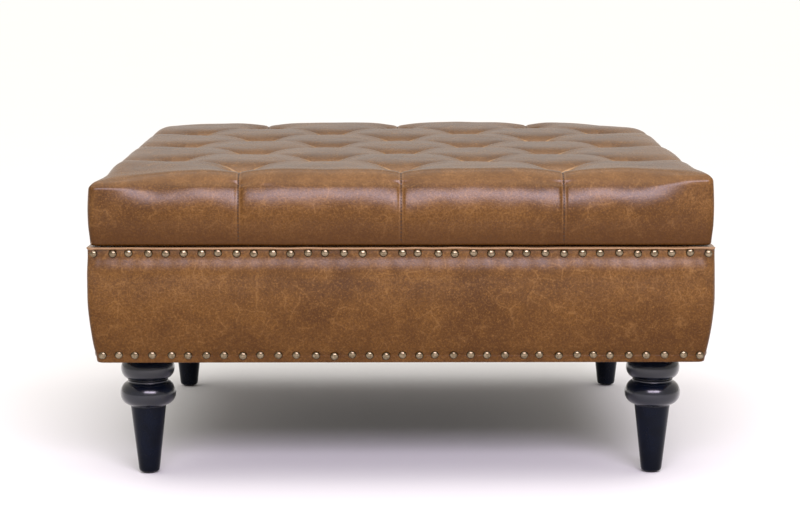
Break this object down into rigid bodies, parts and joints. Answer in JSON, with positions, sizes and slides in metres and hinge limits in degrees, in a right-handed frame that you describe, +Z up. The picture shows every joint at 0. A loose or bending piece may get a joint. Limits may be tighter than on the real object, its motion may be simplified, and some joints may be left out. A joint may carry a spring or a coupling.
{
  "type": "storage ottoman",
  "caption": "Square tufted leather storage ottoman on turned legs, with nailhead trim and a padded lid hinged at the back.",
  "frame": {"origin": "on the floor, under the middle of the ottoman's square plan", "axes": "+X to the right seen from the front, +Y to the back where the hinges are, +Z up; the front faces -Y"},
  "size_m": [0.9176, 0.9278, 0.4705],
  "materials": {
    "saddle_leather": "waxed pull-up leather, mottled tan and brown, satin",
    "antique_brass": "aged dark brass, domed nail heads",
    "black_lacquer": "black lacquer, semi-gloss",
    "plywood": "raw plywood",
    "pine": "planed softwood",
    "foam": "open-cell foam",
    "black_cloth": "non-woven black lining cloth",
    "zinc_steel": "bright zinc-plated steel",
    "nylon": "black nylon",
    "waxed_twine": "waxed cotton twine"
  },
  "bodies": {
    "base": {"front_panel": "plywood", "back_panel": "plywood", "left_panel": "plywood", "right_panel": "plywood", "left_rail": "pine", "right_rail": "pine", "front_rail": "pine", "centre_rail": "pine", "back_rail": "pine", "floor_panel": "plywood", "storage_liner": "black_cloth", "dust_cloth": "black_cloth", "leg_front_left": "black_lacquer", "leg_front_right": "black_lacquer", "leg_back_left": "black_lacquer", "leg_back_right": "black_lacquer", "leg_plate_front_left": "zinc_steel", "leg_plate_front_right": "zinc_steel", "leg_plate_back_left": "zinc_steel", "leg_plate_back_right": "zinc_steel", "hanger_bolt_front_left": "zinc_steel", "hanger_bolt_front_right": "zinc_steel", "hanger_bolt_back_left": "zinc_steel", "hanger_bolt_back_right": "zinc_steel", "leg_glide_front_left": "nylon", "leg_glide_front_right": "nylon", "leg_glide_back_left": "nylon", "leg_glide_back_right": "nylon", "apron_leather": "saddle_leather", "apron_padding": "foam", "upper_nail_trim": "antique_brass", "lower_nail_trim": "antique_brass", "hinge_base_leaf_left": "zinc_steel", "hinge_base_leaf_right": "zinc_steel", "hinge_pin_left": "zinc_steel", "hinge_pin_right": "zinc_steel", "base_screw_left_outer": "zinc_steel", "base_screw_left_inner": "zinc_steel", "base_screw_right_outer": "zinc_steel", "base_screw_right_inner": "zinc_steel"},
    "lid": {"lid_board": "plywood", "lid_foam": "foam", "lid_leather": "saddle_leather", "lid_lining": "black_cloth", "tuft_twine_row_1": "waxed_twine", "tuft_twine_row_2": "waxed_twine", "tuft_twine_row_3": "waxed_twine", "tuft_twine_row_4": "waxed_twine", "tuft_twine_row_5": "waxed_twine", "tuft_twine_row_6": "waxed_twine", "tuft_twine_row_7": "waxed_twine", "hinge_lid_leaf_left": "zinc_steel", "hinge_lid_leaf_right": "zinc_steel", "lid_screw_left_outer": "zinc_steel", "lid_screw_left_inner": "zinc_steel", "lid_screw_right_outer": "zinc_steel", "lid_screw_right_inner": "zinc_steel"}
  },
  "joints": [
    {"name": "lid_hinge", "type": "hinge", "parent": "base", "child": "lid", "pos_m": [0, 0.4645, 0.3605], "axis": [-1, 0, 0], "range_deg": [0, 80]}
  ]
}
